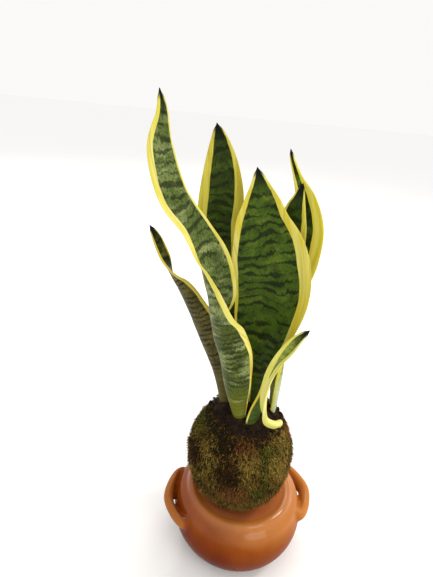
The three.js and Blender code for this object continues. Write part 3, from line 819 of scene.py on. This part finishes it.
# Where the moss has dried or stayed green, and dark soil-toned patches of painted shade on the left
# and front-left: direction from the middle, reach, kind.
MOSS_PATCHES = (
    ((0.70, -0.20, 0.62), 0.42, "gold"), ((0.80, 0.05, 0.50), 0.35, "russet"),
    ((-0.05, -0.72, 0.69), 0.36, "russet"), ((-0.45, -0.70, 0.50), 0.3, "gold"),
    ((0.46, -0.71, 0.46), 0.36, "green"), ((-0.79, -0.03, 0.66), 0.4, "green"),
    ((-0.85, -0.40, 0.20), 0.35, "soil"), ((0.30, -0.92, -0.10), 0.25, "green"),
    ((0.10, -0.85, 0.45), 0.25, "gold"), ((0.62, -0.60, 0.30), 0.35, "gold"),
    ((-0.10, -0.95, -0.10), 0.4, "russet"), ((-0.24, -0.94, 0.24), 0.32, "soil"),
    ((-0.35, -0.72, 0.60), 0.33, "soil"),
    ((0.20, 0.90, 0.30), 0.45, "gold"), ((-0.50, 0.80, 0.10), 0.45, "green"),
    ((0.85, 0.45, 0.0), 0.4, "olive"), ((-0.10, 0.75, 0.66), 0.35, "russet"))
STRANDS = 12000
rng = random.Random(11)


def moss_tint(point, way):
    """The colour of one strand: its patch's kind most often, and any other kind now and then."""
    patch = lumps(point, 14, 31)
    fleck = lumps(point, 5, 37)
    if way.z + 0.1 * patch > 0.93 - 0.16 * rng.random():
        kind = rng.choice(("soil", "soil", "soil", "russet"))
    elif patch > 0.1:
        kind = rng.choice(("gold", "russet", "olive", "olive"))
    elif fleck > 0.0:
        kind = rng.choice(("green", "olive", "soil", "gold", "soil"))
    else:
        kind = rng.choice(("olive", "olive", "soil", "soil", "russet", "russet"))
    for heart, reach, other in MOSS_PATCHES:
        near = 1 - (way - Vector(heart)).length / reach
        if near > 0 and rng.random() < 1.3 * near:
            kind = other
    tint = np.array(linear(rng.choice(MOSS_TINTS[kind])))
    # The underside is darker: painted shade.
    underside_shade = 0.78 + 0.22 * min(1.0, max(0.0, 2.5 * (way.z + 0.3)))
    return tint * rng.uniform(0.6, 1.35) * underside_shade


def moss_strands(count, long_low, long_high, thick_low, thick_high, lift, stray_share):
    """Strands that root in the mat and hang down, in tufts, with some of them straying."""
    strands = []
    while len(strands) < count:
        z = rng.uniform(-1, 1)
        turn = rng.uniform(0, 2 * math.pi)
        flat = math.sqrt(1 - z * z)
        way = Vector((flat * math.cos(turn), flat * math.sin(turn), z))
        # The crown is bare soil, and the ball is worn bare where it hangs in the mouth.
        if z > 0.86 or z < -0.93:
            continue
        root = BALL_CENTRE + Vector((
            way.x * (BALL_RADIUS - STRAND_SINK), way.y * (BALL_RADIUS - STRAND_SINK),
            way.z * (BALL_HALF_HEIGHT - STRAND_SINK)))
        bare = lumps(root, 16, 1) * 0.6 + lumps(root, 6, 2) * 0.4
        root += way * (MAT_LUMPS * bare)
        if not clear_of_leaves(root, 1.5):
            continue
        root = above_ledge(root, 0.4)
        down = Vector((0, 0, -1)) - way * (-way.z)
        stray = Vector([rng.gauss(0, 1) for _ in range(3)]) * stray_share
        tuft = Vector([lumps(root, 7, 41 + k) for k in range(3)]) * 0.6
        start = (way * lift + down * 0.7 + stray + tuft).normalized()
        tip = (way * lift * 0.35 + Vector((0, 0, -0.85)) + stray + tuft * 0.6).normalized()
        long = rng.uniform(long_low, long_high) * (1 + 0.35 * lumps(root, 9, 47))
        strands.append((root[:], start[:], tip[:], long, rng.uniform(thick_low, thick_high),
                        moss_tint(root, way)))
    return strands


# Each piece: how many strands, shortest and longest, thinnest and thickest, lift and stray.
moss_fibre = strand_material("moss_strand", 0.85)
for name, settings in {
    "moss_undercoat": (STRANDS, 2.0, 4.0, 0.5, 0.9, 0.2, 0.5),
    "moss_hanging_strands": (STRANDS, 3.2, 6.4, 0.32, 0.6, 0.1, 0.28),
    "moss_curls": (STRANDS, 1.8, 3.8, 0.3, 0.55, 0.25, 0.55),
    "moss_loose_tufts": (STRANDS // 6, 2.5, 5.0, 0.3, 0.5, 0.5, 0.4),
}.items():
    piece = new_object(name, strands_mesh(name, moss_strands(*settings)))
    piece.data.materials.append(moss_fibre)
    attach(piece, "root")

# ---- soil crown ----
# Dark potting soil with bark crumbs, bare where the leaves come up; its dead root hairs are not
# modelled. It fills the ball inside the moss.

CROWN_SINK = 1.2
soil_loops = ball_loops(3, CROWN_ANGLE - 6, SKIN_THICK + FIT_GAP, 0.0, 5, 40)
soil_loops += ball_loops(CROWN_ANGLE + 0.5, 178, CROWN_SINK, 2.2, 5, 50)
soil_body = new_object("soil_ball", loops_to_mesh("soil_ball", soil_loops))
# Peat and bark fibre: near black when moist, and rough all over.
soil_skin, tree = new_material("fibrous_potting_soil")
place = add_node(tree, "ShaderNodeTexCoord").outputs["Object"]
crumb = add_node(tree, "ShaderNodeTexVoronoi", {"Vector": place, "Scale": scale_for(2.222)})
soil_tone = add_node(tree, "ShaderNodeTexNoise", {
    "Vector": place, "Scale": scale_for(3.846), "Detail": 5.0, "Roughness": 0.7})
soil_ramp = add_node(tree, "ShaderNodeValToRGB", {"Fac": soil_tone.outputs["Fac"]},
                     stops=[(0.32, "120b06"), (0.5, "24170d"), (0.68, "3c2917")])
soil_bump = add_node(tree, "ShaderNodeBump", {
    "Height": crumb.outputs["Distance"], "Strength": 0.9, "Distance": 1.2 * MM})
finish_material(tree, add_node(tree, "ShaderNodeBsdfPrincipled", {
    "Base Color": soil_ramp.outputs["Color"], "Roughness": 0.95, "Normal": soil_bump.outputs[0],
    "Specular IOR Level": 0.2}))
soil_body.data.materials.append(soil_skin)
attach(soil_body, "root")
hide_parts("soil_core")

# Crumbs of bark and peat: broken lumps with eight faces.
CRUMBS = 900
crumb_points, crumb_faces = [], []
corners = [Vector(c) for c in ((1, 0, 0), (-1, 0, 0), (0, 1, 0), (0, -1, 0), (0, 0, 1), (0, 0, -1))]
sides = [(0, 2, 4), (2, 1, 4), (1, 3, 4), (3, 0, 4), (2, 0, 5), (1, 2, 5), (3, 1, 5), (0, 3, 5)]
while len(crumb_points) < CRUMBS * len(corners):
    far = math.sqrt(rng.random()) * (CROWN_RADIUS + 6)
    turn = rng.uniform(0, 2 * math.pi)
    x, y = far * math.cos(turn), far * math.sin(turn)
    z = BALL_HALF_HEIGHT * math.sqrt(1 - (far / BALL_RADIUS) ** 2) - CROWN_SINK
    spot = BALL_CENTRE + Vector((x, y, z + rng.uniform(-0.3, 0.9)))
    if not clear_of_leaves(spot, 1.2):
        continue
    size = rng.uniform(0.5, 1.6)
    start = len(crumb_points)
    spin = Matrix.Rotation(rng.uniform(0, 6.28), 3, Vector((rng.random(), rng.random(), 0.5)))
    for c in corners:
        crumb_points.append((spot + spin @ (c * size * rng.uniform(0.6, 1.2))) * MM)
    crumb_faces.extend([tuple(start + i for i in f) for f in sides])
crumb_mesh = bpy.data.meshes.new("soil_crumbs")
crumb_mesh.from_pydata([p[:] for p in crumb_points], [], crumb_faces)
crumbs = new_object("soil_crumbs", crumb_mesh, smooth=False)
crumbs.data.materials.append(soil_skin)
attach(crumbs, "root")

# ---- rhizome ----
# The fleshy stem in the soil that the leaves grow from: straw-coloured, ringed with old scars. It
# grew as one piece and is out of sight, so the solid from the frame stays, in its own bark.

# Fresh root bark: satin, in rings where old leaf bases came off.
rhizome_skin, tree = new_material("ringed_root_stem")
place = add_node(tree, "ShaderNodeTexCoord").outputs["Object"]
rings = add_node(tree, "ShaderNodeTexWave", {
    "Vector": place, "Scale": 60.0, "Distortion": 3.0, "Detail": 2.0}, bands_direction="X")
ring_ramp = add_node(tree, "ShaderNodeValToRGB", {"Fac": rings.outputs["Fac"]},
                     stops=[(0.2, "8a6236"), (0.6, "b98a4c")])
ring_bump = add_node(tree, "ShaderNodeBump", {
    "Height": rings.outputs["Fac"], "Strength": 0.4, "Distance": 1.0 * MM})
finish_material(tree, add_node(tree, "ShaderNodeBsdfPrincipled", {
    "Base Color": ring_ramp.outputs["Color"], "Roughness": 0.6, "Normal": ring_bump.outputs[0]}))
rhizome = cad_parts["rhizome"]
for material_slot in rhizome.material_slots:
    material_slot.material = rhizome_skin
